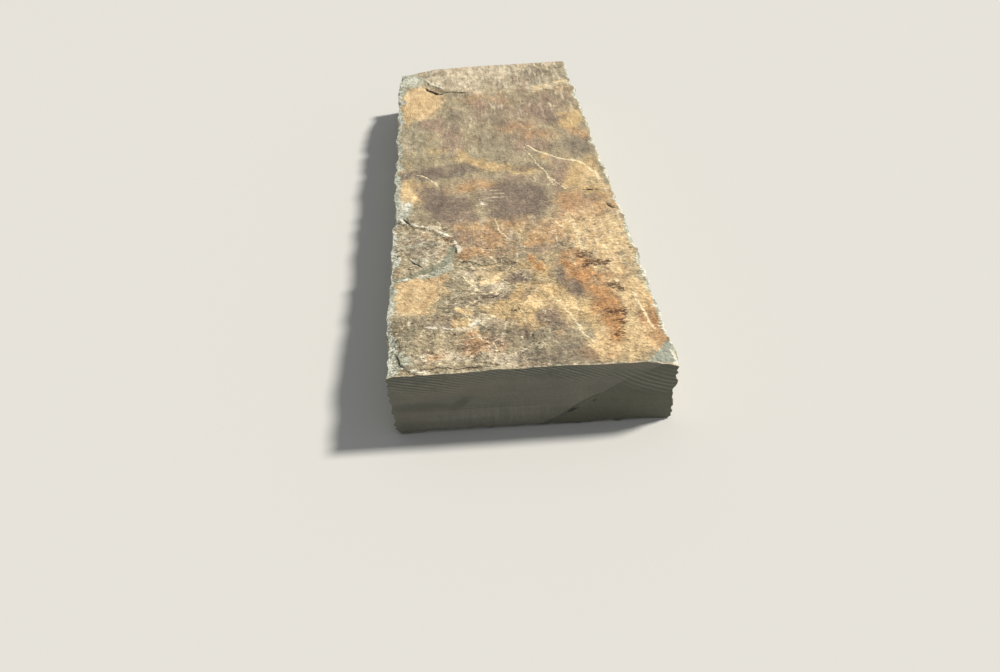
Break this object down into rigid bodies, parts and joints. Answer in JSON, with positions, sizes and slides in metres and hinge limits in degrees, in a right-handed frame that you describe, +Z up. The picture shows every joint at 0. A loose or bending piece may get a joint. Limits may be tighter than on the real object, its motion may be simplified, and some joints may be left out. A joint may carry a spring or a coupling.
{
  "type": "slate wall cap",
  "caption": "Slab of natural cleft slate that caps a length of low wall, with split long edges and sawn butt ends.",
  "frame": {"origin": "middle of the bed, the underside that lies on the wall", "axes": "+Z up out of the cleft top, +Y along the wall from the sawn end in view to the far one, +X across the wall"},
  "size_m": [0.2335, 0.657, 0.0648],
  "materials": {
    "slate": "natural cleft slate, tan to olive grey with rust, ochre and purple-grey stains; split edges and sawn ends are fresh grey-green"
  },
  "bodies": {
    "root": {"wall_cap": "slate"}
  },
  "joints": []
}
